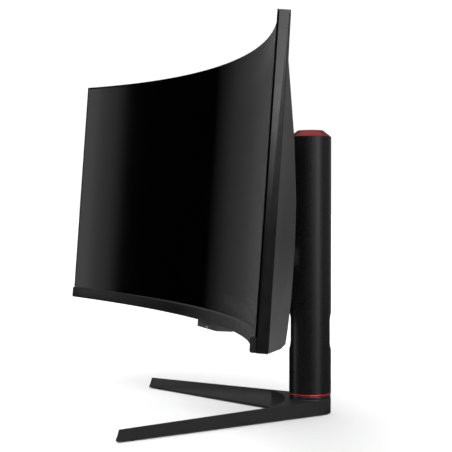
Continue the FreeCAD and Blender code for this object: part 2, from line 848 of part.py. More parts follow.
def make_mount_plate():
    """The quick-release plate that sits in the recess, with a window for the latch."""
    half = s.mount_plate_half
    low = s.recess_floor + 0.1
    body = new_body("mount_plate_body")
    sketch = sketch_on(body, "mount_outline", "XZ_Plane", ahead=-low)
    corner = 6.0
    outline(sketch, [
        (-half + corner, -half),
        (half - corner, -half),
        (half, -half + corner),
        (half, half - corner),
        (half - corner, half),
        (-half + corner, half),
        (-half, half - corner),
        (-half, -half + corner),
    ])
    plate = pad(body, "mount_pad", sketch, 4.0)
    plate.Reversed = True
    window = sketch_on(body, "latch_window", "XZ_Plane", ahead=-low)
    outline(window, rectangle((-LATCH_HALF - 0.4, -half - 1), (LATCH_HALF + 0.4, LATCH_TOP)))
    pocket(body, "latch_way", window, 12.0)
    for number, (x, z) in enumerate(BRACKET_SPOTS):
        ring = sketch_on(body, "bracket_thread_%d" % number, "XZ_Plane", ahead=-low)
        circle(ring, (x, z), 2.0)
        pocket(body, "bracket_tap_%d" % number, ring, 12.0)
    keep("mount_plate", body, HEAD)


def circle(sketch, centre, radius):
    at = FreeCAD.Vector(as_size(centre[0]).value, as_size(centre[1]).value, 0)
    element = sketch.addGeometry(Part.Circle(at, FreeCAD.Vector(0, 0, 1), as_size(radius).value))
    pin_down(sketch, element, 3, centre)
    index = sketch.addConstraint(Sketcher.Constraint("Radius", element, as_size(radius).value))
    bind(sketch, "Constraints[%d]" % index, radius)


def make_latch():
    """The release button slides up in the plate's window and is sprung down."""
    low = s.recess_floor + 0.5
    tongue = box("latch_tongue", (-LATCH_HALF, low, -44), (LATCH_HALF, low + 3.4, LATCH_TOP - 5.0))
    thumb = box("latch_thumb", (-LATCH_HALF, low, -47.5), (LATCH_HALF, low + 8.5, -40.5))
    keep("release_button", fuse("latch_whole", tongue, thumb), HEAD)
    spring = tube("latch_spring_tube", (0, low + 1.7, LATCH_TOP - 4.9), 1.6, 1.1, 4.8)
    keep("release_spring", spring, HEAD)


# ---------------------------------------------------------------- display head


def screen_layers():
    top = HALF_HEIGHT - 3.0
    bottom = -HALF_HEIGHT + s.rim_wall + 0.6
    lowest = -HALF_HEIGHT + s.chin_height + 0.2
    keep("lcd_panel", curved_slab("lcd", 0, s.glass, lowest, HALF_HEIGHT, 0), HEAD)
    keep("diffuser_sheets", curved_slab("diffuser", 2.2, 3.0, lowest, top, 6.0), HEAD)
    keep("light_guide", curved_slab("guide", 3.2, 5.6, lowest, top, 6.0), HEAD)
    keep("reflector_sheet", curved_slab("reflector", 5.8, 6.2, lowest, top, 6.0), HEAD)
    keep("led_strip", curved_slab("leds", 3.2, 5.6, lowest - 4.0, lowest - 0.4, 20.0), HEAD)
    keep("back_pan", curved_slab("pan", 6.5, 7.5, bottom + 0.4, top, 3.6), HEAD)


def make_module_frame():
    """The black frame that carries the screen's layers, open behind them."""
    body = new_body("module_body")
    top = HALF_HEIGHT - s.rim_wall - 0.2
    bottom = -HALF_HEIGHT + s.rim_wall + 0.2
    inset = s.rim_wall + 0.2
    sill = -HALF_HEIGHT + s.chin_height + 0.1
    slab = rectangle((as_size(2.0), bottom), (as_size(6.3), top))
    bend(body, "module_slab", slab, HEAD_ANGLE - inset * MILLIMETRE)
    hollow = rectangle((as_size(1.0), sill), (as_size(8.0), top - 0.4))
    bend(body, "module_hollow", hollow, HEAD_ANGLE - 5.8 * MILLIMETRE, "PartDesign::Groove")
    shelf = rectangle((as_size(3.0), sill - 4.3), (as_size(8.0), sill))
    bend(body, "module_shelf", shelf, HEAD_ANGLE - 19.8 * MILLIMETRE, "PartDesign::Groove")
    keep("module_frame", body, HEAD)


def rim_line(front, height):
    """Depth of the rim's front or back edge at a height: both edges slope back towards the bottom."""
    top = s.rim_front_top if front else s.rim_back_top
    bottom = s.rim_front_bottom if front else s.rim_back_bottom
    return top + (bottom - top) * (HALF_HEIGHT - height) / s.head_height


def make_mid_frame():
    body = new_body("rim_body")
    profile = [
        (s.rim_front_bottom, -HALF_HEIGHT),
        (s.rim_back_bottom, -HALF_HEIGHT),
        (s.rim_back_top, HALF_HEIGHT),
        (s.rim_front_top, HALF_HEIGHT),
    ]
    bend(body, "rim_slab", profile, HEAD_ANGLE)
    inside = HALF_HEIGHT - s.rim_wall
    hollow = rectangle((as_size(0.0), -inside), (as_size(25.0), inside))
    bend(body, "rim_hollow", hollow, HEAD_ANGLE - s.rim_wall * MILLIMETRE, "PartDesign::Groove")
    keep("mid_frame", body, HEAD)


def make_chin():
    body = new_body("chin_body")
    top = -HALF_HEIGHT + s.chin_height
    proud = -s.chin_proud
    chamfer = 1.6
    bend(body, "chin_bar", [
        (as_size(s.glass), top),
        (proud + chamfer, top),
        (proud, top - chamfer),
        (proud, -HALF_HEIGHT + chamfer),
        (proud + chamfer, -HALF_HEIGHT),
        (as_size(s.glass), -HALF_HEIGHT),
    ], HEAD_ANGLE - 2.6 * MILLIMETRE)
    hollow = rectangle((proud + 2.2, -HALF_HEIGHT + 2.2), (as_size(3.0), top - 2.2))
    bend(body, "chin_hollow", hollow, HEAD_ANGLE - 5.0 * MILLIMETRE, "PartDesign::Groove")
    keep("chin", body, HEAD)


def cover_profile(inside):
    """Points of the rear cover's side profile, outside or one wall thickness inside, top to bottom."""
    wall = s.cover_thickness * inside
    foot = -HALF_HEIGHT
    return [
        (as_size(14.6 + 1.13 * inside) - wall, HALF_HEIGHT - 50 - 8 * inside),
        (as_size(26.0) - wall, HALF_HEIGHT - 130),
        (as_size(32.3) - wall, HALF_HEIGHT - 195),
        (as_size(34.1) - wall, HALF_HEIGHT - 245),
        (as_size(33.8) - wall, HALF_HEIGHT - 295),
        (as_size(32.3) - wall, foot + 26 + wall / 2),
        (as_size(31.1) - wall, foot + 11.5 + wall / 2),
        (as_size(26.8) - wall / 2, foot + 6.4 + wall),
        (as_size(15.8), foot + 1.1 + wall),
    ]


def hump_underside(depth):
    """Height of the hump's lower face at a depth."""
    fall = (s.hump_foot_bottom - s.hump_bottom) / (s.hump_depth + s.hump_foot_depth)
    return -s.hump_bottom - (s.hump_depth - depth) * fall


def hump(body, name, wall, kind):
    """The raised middle of the rear cover, narrowing towards its flat back."""
    sections = []
    for number, (depth, half, low, high) in enumerate((
        (-s.hump_foot_depth, s.hump_foot_half, -s.hump_foot_bottom, s.hump_foot_top),
        (s.hump_depth - wall, s.hump_half, -s.hump_bottom, s.hump_top),
    )):
        sketch = sketch_on(body, "%s_%d" % (name, number), "XZ_Plane", ahead=-depth)
        outline(sketch, rectangle((-half + wall, low + wall), (half - wall, high - wall)))
        sections.append(sketch)
    return loft(body, name, sections, kind)


def make_rear_cover():
    body = new_body("cover_body")
    gap = 0.15
    outer = [
        (rim_line(False, HALF_HEIGHT) + gap, HALF_HEIGHT),
        (as_size(13.9), HALF_HEIGHT),
    ] + cover_profile(0) + [(rim_line(False, -HALF_HEIGHT) + gap, -HALF_HEIGHT + 0.4)]
    bend(body, "cover_shell", outer, HEAD_ANGLE)
    hump(body, "hump_outside", 0, "PartDesign::AdditiveLoft")
    inner = cover_profile(1)
    inner = [(as_size(-20.0), inner[0][1])] + inner + [(as_size(-20.0), inner[-1][1])]
    bend(body, "cover_hollow", inner, HEAD_ANGLE - 2.6 * MILLIMETRE, "PartDesign::Groove")
    hump(body, "hump_inside", s.cover_thickness, "PartDesign::SubtractiveLoft")
    add_recess(body)
    add_port_bay(body)
    keep("rear_cover", body, HEAD)


def add_recess(body):
    """A square dish for the mount, with its own floor and walls, and four holes on the square."""
    half = s.recess_half
    wall = s.cover_thickness
    dish = sketch_on(body, "dish_outline", "XZ_Plane", ahead=-(s.recess_floor - wall))
    outline(dish, rectangle((-half - wall, -half - wall), (half + wall, half + wall)))
    block = pad(body, "dish_block", dish, s.hump_depth - s.recess_floor + wall - 1.0)
    block.Reversed = True
    opening = sketch_on(body, "dish_opening", "XZ_Plane", ahead=-(s.recess_floor + 20.0))
    outline(opening, rectangle((-half, -half), (half, half)))
    pocket(body, "dish_hollow", opening, 40.0)
    for number, (x, z) in enumerate(VESA_SPOTS):
        ring = sketch_on(body, "vesa_ring_%d" % number, "XZ_Plane", ahead=-s.recess_floor)
        circle(ring, (x, z), 2.5)
        pocket(body, "vesa_way_%d" % number, ring, 12.0)


VESA_SPOTS = [(x * s.vesa_half, z * s.vesa_half) for x in (-1, 1) for z in (-1, 1)]


def add_port_bay(body):
    """A bay open to the rear and below, whose roof holds the sockets facing down."""
    half = s.port_half
    wall = s.cover_thickness
    front = s.port_depth - wall
    back = s.hump_depth - 1.0
    roof = -s.port_roof + wall
    side = sketch_on(body, "bay_walls", "YZ_Plane")
    outline(side, [
        (front, hump_underside(front)),
        (back, hump_underside(back)),
        (back, roof),
        (front, roof),
    ])
    pad(body, "bay_block", side, 2 * (half + wall), symmetric=True)
    hollow = sketch_on(body, "bay_hollow", "XY_Plane", ahead=-s.port_roof - 50)
    outline(hollow, rectangle((-half, s.port_depth), (half, s.hump_depth + 10)))
    pocket(body, "bay_open", hollow, 100)
    window = sketch_on(body, "bay_window", "XY_Plane", ahead=-s.port_roof)
    outline(window, rectangle((-half + 4, s.port_depth + 3.0), (half - 4, s.hump_depth - 5.0)))
    pocket(body, "bay_roof_window", window, 12)


def make_vesa_bracket():
    """A steel hat: a plate under the recess floor, four threaded bosses, four legs on the back pan."""
    back = s.recess_floor - s.cover_thickness - 0.1
    plate = box("vesa_plate", (-60, back - 2.0, -60), (60, back, 60))
    window = box("vesa_window", (-36, back - 3, -36), (36, back + 1, 36))
    legs = []
    taps = []
    for number, (x, z) in enumerate(VESA_SPOTS):
        legs.append(cylinder("vesa_leg_%d" % number, (x, 7.0, z), 6.0, back - 8.0, "y"))
        taps.append(cylinder("vesa_tap_%d" % number, (x, back - 14.0, z), 2.0, 15, "y"))
    keep("vesa_bracket", cut("vesa_cut", fuse("vesa_whole", plate, *legs), window, *taps), HEAD)


def make_boards():
    main = [box("main_sheet", (-42, 12, -98), (42, 13.6, 38))]
    main.append(box("main_chip", (-14, 13.6, -20), (14, 16.0, 8)))
    main.append(box("main_sink", (-12, 16.0, -18), (12, 24.0, 6)))
    main.append(box("main_plug", (-38, 13.6, 24), (-6, 19.0, 31)))
    keep("main_board", fuse("main_whole", *main), HEAD)
    power = [box("power_sheet", (66, 14, -90), (104, 15.6, 45))]
    for number, height in enumerate((-78, -52, 28)):
        power.append(cylinder("power_can_%d" % number, (85, 15.6, height), 8.0, 17.0, "y"))
    power.append(box("power_coil", (72, 15.6, -34), (98, 29.0, -8)))
    keep("power_board", fuse("power_whole", *power), HEAD)
    riser = box("riser_sheet", (-64, 26, -99.4), (64, 56, -98.0))
    keep("port_board", riser, HEAD)


PORTS = {
    "dc_socket": [(-52, 4.8, 4.8)],
    "hdmi_sockets": [(-30, 7.6, 3.0), (-10, 7.6, 3.0)],
    "displayport_sockets": [(12, 8.1, 2.9), (34, 8.1, 2.9)],
    "audio_socket": [(53, 3.6, 3.6)],
}


def port_block(name, x, y, half_wide, half_deep, low, high):
    return box(name, (x - half_wide, y - half_deep, low), (x + half_wide, y + half_deep, high))


def make_port(name, x, half_wide, half_deep):
    """A socket's shell under the port board, open at its bottom."""
    depth = 52.0
    low = -s.port_roof + 0.4
    high = -99.5
    round_one = half_wide == half_deep
    if round_one:
        shell = cylinder(name + "_shell", (x, depth, low), half_wide, high - low)
        mouth = cylinder(name + "_mouth", (x, depth, low - 1), half_wide - 1.4, 4.4)
        return cut(name, shell, mouth)
    shell = port_block(name + "_shell", x, depth, half_wide, half_deep, low, high)
    edge = 0.8
    mouth = port_block(name + "_mouth", x, depth, half_wide - edge, half_deep - edge, low - 1, low + 3.6)
    return cut(name, shell, mouth)


def make_ports():
    for node, sockets in PORTS.items():
        solids = [make_port("%s_%d" % (node, number), *socket) for number, socket in enumerate(sockets)]
        keep(node, solids[0] if len(solids) == 1 else group(node + "_set", *solids), HEAD)


def make_osd():
    """The housing under the chin, its board, its light and the joystick behind it."""
    top = -HALF_HEIGHT - 0.1
    low = top - s.osd_height
    front = s.osd_front
    back = s.osd_back
    half = s.osd_half
    wall = 1.6
    body = new_body("osd_body")
    side = sketch_on(body, "osd_side", "YZ_Plane")
    outline(side, [
        (front, low),
        (back, low),
        (back, top + 8.6),
        (as_size(25.5), top + 5.2),
        (as_size(14.4), top),
        (front, top),
    ])
    pad(body, "osd_block", side, 2 * half, symmetric=True)
    floor = sketch_on(body, "osd_floor", "XY_Plane", ahead=low + wall + 20)
    outline(floor, rectangle((-half + wall, front + wall), (half - wall, back - wall)))
    pocket(body, "osd_hollow", floor, 40)
    way = sketch_on(body, "osd_stick_way", "XZ_Plane", ahead=-(back - 1.5))
    circle(way, (0, STICK_HEIGHT), 3.2)
    pocket(body, "osd_stick_hole", way, 9)
    window = sketch_on(body, "osd_light_way", "XZ_Plane", ahead=-(front + 1.0))
    outline(window, rectangle((as_size(-4.0), low + 1.6), (as_size(4.0), low + 3.2)))
    pocket(body, "osd_light_hole", window, 4)
    keep("osd_housing", body, HEAD)
    keep("osd_board", box("osd_sheet", (-34, front + 4, top - 1.6), (34, back - 8, top - 0.4)), HEAD)
    lens = box("osd_lens", (-3.9, front + 0.2, low + 1.7), (3.9, front + 2.6, low + 3.1))
    keep("status_light", lens, HEAD)
    low_corner = (-5, STICK_BACK - 7.4, STICK_HEIGHT - 2.4)
    high_corner = (5, STICK_BACK - 3.8, STICK_HEIGHT + 1.8)
    keep("joystick_switch", box("stick_switch_box", low_corner, high_corner), HEAD)


STICK_HEIGHT = -HALF_HEIGHT - 4.5
STICK_BACK = s.osd_back - 1.6


def make_joystick():
    """Two crossed gimbal pieces, and a cap that presses in."""
    y = STICK_BACK - 3.0
    yoke = tube("stick_yoke_tube", (0, y - 0.4, STICK_HEIGHT), 2.9, 2.1, 1.6, "y")
    keep("joystick_yoke", yoke, HEAD)
    keep("joystick_stem", tube("stick_stem_tube", (0, y - 0.4, STICK_HEIGHT), 1.9, 1.2, 3.2, "y"), HEAD)
    shaft = cylinder("stick_shaft", (0, y + 0.4, STICK_HEIGHT), 1.1, 5.4, "y")
    knob = cylinder("stick_knob", (0, y + 5.8, STICK_HEIGHT), 3.6, 2.6, "y")
    keep("joystick_cap", fuse("stick_whole", shaft, knob), HEAD)


def make_cover_screws():
    """Screws through the rear cover's flange beside the mount, sunk in the back."""
    screws = []
    spots = [(x, z) for x in (-92, 92) for z in (-124, 54)]
    for number, (x, z) in enumerate(spots):
        start = (x, s.hump_depth - s.cover_thickness - 2.6, z)
        head = cylinder("cover_head_%d" % number, start, 3.4, 2.4, "y")
        shank = cylinder("cover_shank_%d" % number, (x, s.hump_depth - 20, z), 1.5, 15.2, "y")
        screws.append(fuse("cover_screw_%d" % number, head, shank))
    keep("cover_screws", group("cover_set", *screws), HEAD)


def build():
    make_base()
    make_foot_pads()
    make_base_screws()
    make_column_foot()
    make_rings()
    make_core()
    make_covers()
    make_hole_liner()
    make_cap()
    make_lift_frame()
    make_spring_strip()
    make_carriage()
    make_bushes()
    make_neck_arm()
    make_neck_bolts()
    make_spring_drum()
    make_swivel()
    make_knuckle()
    make_tilt_hinge()
    make_tilt_bracket()
    make_bracket_screws()
    make_mount_plate()
    make_latch()
    screen_layers()
    make_module_frame()
    make_mid_frame()
    make_chin()
    make_rear_cover()
    make_vesa_bracket()
    make_boards()
    make_ports()
    make_osd()
    make_joystick()
    make_cover_screws()
    doc.recompute()


def check():
    """Stop if any object failed or any sub-part is empty or broken."""
    faults = []
    for thing in doc.Objects:
        if "Invalid" in thing.State or "Error" in thing.State:
            faults.append("%s failed: %s" % (thing.Name, thing.State))
    for name, thing in nodes.items():
        if thing.Shape.isNull():
            faults.append(name + " is empty")
        elif not thing.Shape.isValid() or not thing.Shape.Solids:
            faults.append(name + " is not a valid solid")
    if faults:
        raise RuntimeError("\n".join(faults))


def export():
    os.makedirs("parts", exist_ok=True)
    for name, thing in nodes.items():
        thing.Shape.exportStep("parts/%s.step" % name)
        print("%-22s %2d solids %10.0f mm3" % (name, len(thing.Shape.Solids), thing.Shape.Volume))


build()
check()
export()
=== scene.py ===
"""Looks for the curved monitor: materials, small moulded detail, soft studio light and the camera.

The row frame is in metres.  Detail on the display head is given in millimetres in the head's own
frame, with +X along the screen, +Y behind it and +Z up it, and then carried to where it stands.
"""
import bpy
import bmesh
import json
import math
from mathutils import Matrix, Vector


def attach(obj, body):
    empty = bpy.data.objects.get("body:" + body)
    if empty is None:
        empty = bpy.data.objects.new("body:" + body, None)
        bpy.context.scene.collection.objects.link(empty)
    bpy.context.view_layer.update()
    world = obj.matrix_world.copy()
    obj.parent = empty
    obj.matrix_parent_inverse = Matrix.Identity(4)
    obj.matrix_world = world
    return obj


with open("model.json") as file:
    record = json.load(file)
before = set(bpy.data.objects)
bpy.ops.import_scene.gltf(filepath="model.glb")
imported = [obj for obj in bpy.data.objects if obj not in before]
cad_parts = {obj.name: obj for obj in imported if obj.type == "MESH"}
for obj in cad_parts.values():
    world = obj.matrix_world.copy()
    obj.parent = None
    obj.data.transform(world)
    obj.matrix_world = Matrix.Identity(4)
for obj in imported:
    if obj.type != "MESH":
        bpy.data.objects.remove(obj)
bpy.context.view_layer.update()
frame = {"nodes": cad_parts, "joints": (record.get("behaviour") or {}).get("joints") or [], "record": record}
nodes = frame["nodes"]
joints = {joint["name"]: joint for joint in frame["joints"]}

MM = 0.001
# How far the tilt pin stands behind the origin of the head's own frame, in metres.
TILT_DEPTH = 0.0719
# The head's own axes, by their column in its matrix.
ALONG = 0
UP = 2


# ---------------------------------------------------------------- places


def head_frame():
    """The head's own axes at rest, from its tilt joint and the release button's slide."""
    along = Vector(joints["tilt"]["axis"])
    up = Vector(joints["stand_release"]["axis"])
    back = up.cross(along)
    turn = Matrix((along, back, up)).transposed().to_4x4()
    origin = Vector(joints["tilt"]["pos_m"]) - back * TILT_DEPTH
    return Matrix.Translation(origin) @ turn


HEAD = head_frame()


# ---------------------------------------------------------------- materials


# Most of a noise texture's values fall in this span.
NOISE_SPAN = (0.35, 0.65)
WHOLE_SPAN = (0, 1)
# Heights of surface grain, in metres.
FAINT = 0.00001
FINE = 0.00003
COARSE = 0.00004


class Recipe:
    """A material's node tree, built step by step in object space."""

    def __init__(self, name):
        self.material = bpy.data.materials.new(name)
        self.material.use_nodes = True
        self.tree = self.material.node_tree
        self.shader = self.tree.nodes["Principled BSDF"]
        self.place = self.tree.nodes.new("ShaderNodeTexCoord").outputs["Object"]

    def node(self, kind, **settings):
        made = self.tree.nodes.new(kind)
        for name, value in settings.items():
            setattr(made, name, value)
        return made

    def link(self, output, entry):
        self.tree.links.new(output, entry)

    def stretched(self, scale, turn=(0, 0, 0)):
        mapping = self.node("ShaderNodeMapping")
        mapping.inputs["Scale"].default_value = scale
        mapping.inputs["Rotation"].default_value = turn
        self.link(self.place, mapping.inputs["Vector"])
        return mapping.outputs["Vector"]

    def noise(self, scale, detail=2.0, place=None):
        texture = self.node("ShaderNodeTexNoise")
        texture.inputs["Scale"].default_value = scale
        texture.inputs["Detail"].default_value = detail
        self.link(place or self.place, texture.inputs["Vector"])
        return texture.outputs["Fac"]

    def cells(self, scale):
        texture = self.node("ShaderNodeTexVoronoi")
        texture.inputs["Scale"].default_value = scale
        self.link(self.place, texture.inputs["Vector"])
        return texture.outputs["Distance"]

    def ramp(self, value, low, high, span=NOISE_SPAN):
        """Low to high over a span of a value."""
        spread = self.node("ShaderNodeMapRange")
        spread.inputs["From Min"].default_value = span[0]
        spread.inputs["From Max"].default_value = span[1]
        spread.inputs["To Min"].default_value = low
        spread.inputs["To Max"].default_value = high
        self.link(value, spread.inputs["Value"])
        return spread.outputs["Result"]

    def tint(self, value, dark, light, span=NOISE_SPAN):
        """Base colour from dark to light over a value."""
        mix = self.node("ShaderNodeMix", data_type="RGBA")
        mix.inputs[6].default_value = (*dark, 1)
        mix.inputs[7].default_value = (*light, 1)
        self.link(self.ramp(value, 0, 1, span), mix.inputs["Factor"])
        self.link(mix.outputs[2], self.shader.inputs["Base Color"])

    def rough(self, value, low, high):
        self.link(self.ramp(value, low, high), self.shader.inputs["Roughness"])

    def bump(self, value, height, strength):
        raised = self.node("ShaderNodeBump")
        raised.inputs["Distance"].default_value = height
        raised.inputs["Strength"].default_value = strength
        self.link(value, raised.inputs["Height"])
        self.link(raised.outputs["Normal"], self.shader.inputs["Normal"])

    def joined(self, operation, first, second=None):
        maths = self.node("ShaderNodeMath", operation=operation)
        self.link(first, maths.inputs[0])
        if second:
            self.link(second, maths.inputs[1])
        return maths.outputs["Value"]

    def painted_edge_sheen(self, plain, sheen_colour, span):
        """Base colour that turns paler where the surface is seen edge on: a painted sheen standing in for
        reflection at a grazing view.
        """
        edge = self.node("ShaderNodeLayerWeight")
        self.tint(edge.outputs["Facing"], plain, sheen_colour, span)

    def head_part(self, axis):
        """Signed distance from the head's origin along one of its own axes, in metres."""
        local = self.node("ShaderNodeVectorMath", operation="SUBTRACT")
        self.link(self.place, local.inputs[0])
        local.inputs[1].default_value = HEAD.translation
        dot = self.node("ShaderNodeVectorMath", operation="DOT_PRODUCT")
        self.link(local.outputs[0], dot.inputs[0])
        dot.inputs[1].default_value = HEAD.to_3x3().col[axis]
        return dot.outputs["Value"]

    def set(self, **sockets):
        for name, value in sockets.items():
            self.shader.inputs[name.replace("_", " ")].default_value = value


def shade(colour, factor):
    return tuple(channel * factor for channel in colour)


def moulded(name, colour, rough, grain=900.0, depth=COARSE, mottle=0.12, uneven=0.05):
    """Grained plastic: fine bump, slightly uneven gloss and soft mottling."""
    recipe = Recipe(name)
    recipe.tint(recipe.noise(14.0, 4.0), shade(colour, 1 - mottle), shade(colour, 1 + mottle))
    recipe.rough(recipe.noise(60.0, 5.0), rough - uneven, rough + uneven)
    recipe.bump(recipe.noise(grain, 3.0), depth, 0.6)
    return recipe.material


def coated(name, colour, rough=0.45, specular=0.5):
    """Powder-coated metal: a pebbled skin with a soft sheen."""
    recipe = Recipe(name)
    recipe.tint(recipe.noise(9.0, 3.0), shade(colour, 0.88), shade(colour, 1.12))
    recipe.rough(recipe.noise(45.0, 4.0), rough - 0.05, rough + 0.05)
    recipe.bump(recipe.cells(1600.0), FINE, 0.4)
    recipe.set(Specular_IOR_Level=specular)
    return recipe.material


def metal(name, colour, rough, stretch=(1, 1, 40)):
    """Bare metal with fine lines of machining or brushing, drawn out by a stretch along each axis."""
    recipe = Recipe(name)
    lines = recipe.noise(900.0, 2.0, recipe.stretched(tuple(1 / part for part in stretch)))
    recipe.tint(recipe.noise(30.0, 4.0), shade(colour, 0.85), shade(colour, 1.1))
    recipe.rough(lines, rough - 0.06, rough + 0.1)
    recipe.bump(lines, FAINT, 0.4)
    recipe.set(Metallic=1.0)
    return recipe.material


def glossy(name, colour, rough):
    """Smooth plastic or film with faint waviness and handling marks."""
    recipe = Recipe(name)
    recipe.tint(recipe.noise(20.0, 3.0), shade(colour, 0.93), shade(colour, 1.07))
    recipe.rough(recipe.noise(35.0, 6.0), rough, rough + 0.08)
    recipe.bump(recipe.noise(120.0, 2.0), FAINT, 0.3)
    return recipe.material


# The film's picture area ends in a blacker mask at these distances from the head's origin, in metres.
MASK_SIDE = 0.3953
MASK_TOP = 0.1720
MASK_BLEND = 0.0005


def screen_film():
    """The panel's film: almost black, with a painted sheen that pales its base colour at a grazing view, and
    a blacker mask round the picture.
    """
    recipe = Recipe("screen_film")
    # Painted sheen: the film's base colour turns grey where it is seen edge on.
    recipe.painted_edge_sheen((0.0004, 0.0004, 0.00045), (0.061, 0.061, 0.063), (0.655, 0.90))
    recipe.rough(recipe.noise(25.0, 5.0), 0.10, 0.12)
    recipe.bump(recipe.noise(2600.0, 2.0), FAINT, 0.25)
    ends = recipe.joined("ABSOLUTE", recipe.head_part(ALONG))
    sides = recipe.ramp(ends, 0, 1, (MASK_SIDE, MASK_SIDE + MASK_BLEND))
    top = recipe.ramp(recipe.head_part(UP), 0, 1, (MASK_TOP, MASK_TOP + MASK_BLEND))
    mask = recipe.joined("MAXIMUM", sides, top)
    recipe.link(recipe.ramp(mask, 0.31, 0.03, WHOLE_SPAN), recipe.shader.inputs["Specular IOR Level"])
    return recipe.material


def chin_satin():
    """The chin bar: satin plastic, with the same painted sheen in its base colour as the screen where it is
    seen edge on.
    """
    recipe = Recipe("chin_satin")
    # Painted sheen: the chin's base colour turns grey where it is seen edge on.
    recipe.painted_edge_sheen((0.005, 0.005, 0.0053), (0.066, 0.066, 0.068), (0.60, 0.90))
    recipe.rough(recipe.noise(60.0, 5.0), 0.36, 0.46)
    recipe.bump(recipe.noise(1300.0, 3.0), FINE, 0.6)
    recipe.set(Specular_IOR_Level=0.34)
    return recipe.material


# Heights between which the rim turns glossier, in metres above the head's origin.
RIM_SHINE = (-0.06, 0.17)


def rim_grain():
    """The rim's coarse grain, glossier towards the top."""
    recipe = Recipe("rim_grain")
    colour = (0.0035, 0.0035, 0.0037)
    recipe.tint(recipe.noise(14.0, 4.0), shade(colour, 0.86), shade(colour, 1.14))
    recipe.rough(recipe.noise(60.0, 5.0), 0.25, 0.36)
    recipe.bump(recipe.noise(1100.0, 3.0), COARSE, 0.6)
    gloss = recipe.ramp(recipe.head_part(UP), 0.20, 0.95, RIM_SHINE)
    recipe.link(gloss, recipe.shader.inputs["Specular IOR Level"])
    return recipe.material


# Heights between which the rear cover's colour goes from pale to dark, in metres above the head's origin:
# the pale bottom is painted light, as if thrown up from the floor.
COVER_PAINTED_LIGHT = (-0.175, -0.06)
# Heights between which its hatch fades out, in metres above the desk.
HATCH_FADE = (0.14, 0.34)


def cover_grain():
    """The rear cover: a fine leather grain, a slanted hatch that fades in towards the bottom, and colour
    painted paler towards the bottom as light from the floor.
    """
    recipe = Recipe("cover_grain")
    uneven = recipe.ramp(recipe.noise(11.0, 4.0), -0.03, 0.03)
    # Painted light: the cover's colour is paler low down, as if lit from the floor; the noise adds random
    # mottling.
    painted_floor_light = recipe.ramp(recipe.head_part(UP), 1.0, 0.0, COVER_PAINTED_LIGHT)
    mottle_and_painted_light = recipe.joined("ADD", painted_floor_light, uneven)
    recipe.tint(mottle_and_painted_light, (0.0095, 0.0095, 0.010), (0.046, 0.046, 0.047), WHOLE_SPAN)
    recipe.rough(recipe.noise(50.0, 5.0), 0.42, 0.52)
    hatch = recipe.node("ShaderNodeTexWave", wave_type="BANDS", bands_direction="Z")
    hatch.inputs["Scale"].default_value = 110.0
    hatch.inputs["Distortion"].default_value = 0.3
    slant = (0.0, math.radians(48), math.radians(20))
    recipe.link(recipe.stretched((1, 1, 1), slant), hatch.inputs["Vector"])
    parts = recipe.node("ShaderNodeSeparateXYZ")
    recipe.link(recipe.place, parts.inputs["Vector"])
    fade = recipe.ramp(parts.outputs["Z"], 0.30, 0.02, HATCH_FADE)
    lines = recipe.joined("MULTIPLY", hatch.outputs["Fac"], fade)
    leather = recipe.joined("ADD", lines, recipe.cells(950.0))
    recipe.bump(leather, 0.00006, 0.5)
    return recipe.material


def circuit():
    """Green lacquered board with copper tracks just showing."""
    recipe = Recipe("circuit")
    tracks = recipe.node("ShaderNodeTexBrick")
    tracks.inputs["Scale"].default_value = 260.0
    tracks.inputs["Mortar Size"].default_value = 0.03
    tracks.inputs["Color1"].default_value = (0.010, 0.075, 0.030, 1)
    tracks.inputs["Color2"].default_value = (0.014, 0.095, 0.038, 1)
    tracks.inputs["Mortar"].default_value = (0.05, 0.17, 0.06, 1)
    recipe.link(recipe.place, tracks.inputs["Vector"])
    recipe.link(tracks.outputs["Color"], recipe.shader.inputs["Base Color"])
    recipe.rough(recipe.noise(80.0), 0.25, 0.4)
    return recipe.material


def anodised(name, colour, rough):
    """Dyed aluminium with a turned finish."""
    recipe = Recipe(name)
    lines = recipe.noise(700.0, 2.0, recipe.stretched((0.05, 0.05, 3.0)))
    recipe.tint(recipe.noise(40.0), shade(colour, 0.9), shade(colour, 1.1))
    recipe.rough(lines, rough - 0.04, rough + 0.08)
    recipe.bump(lines, FAINT, 0.3)
    recipe.set(Metallic=0.75, Specular_IOR_Level=0.6)
    return recipe.material


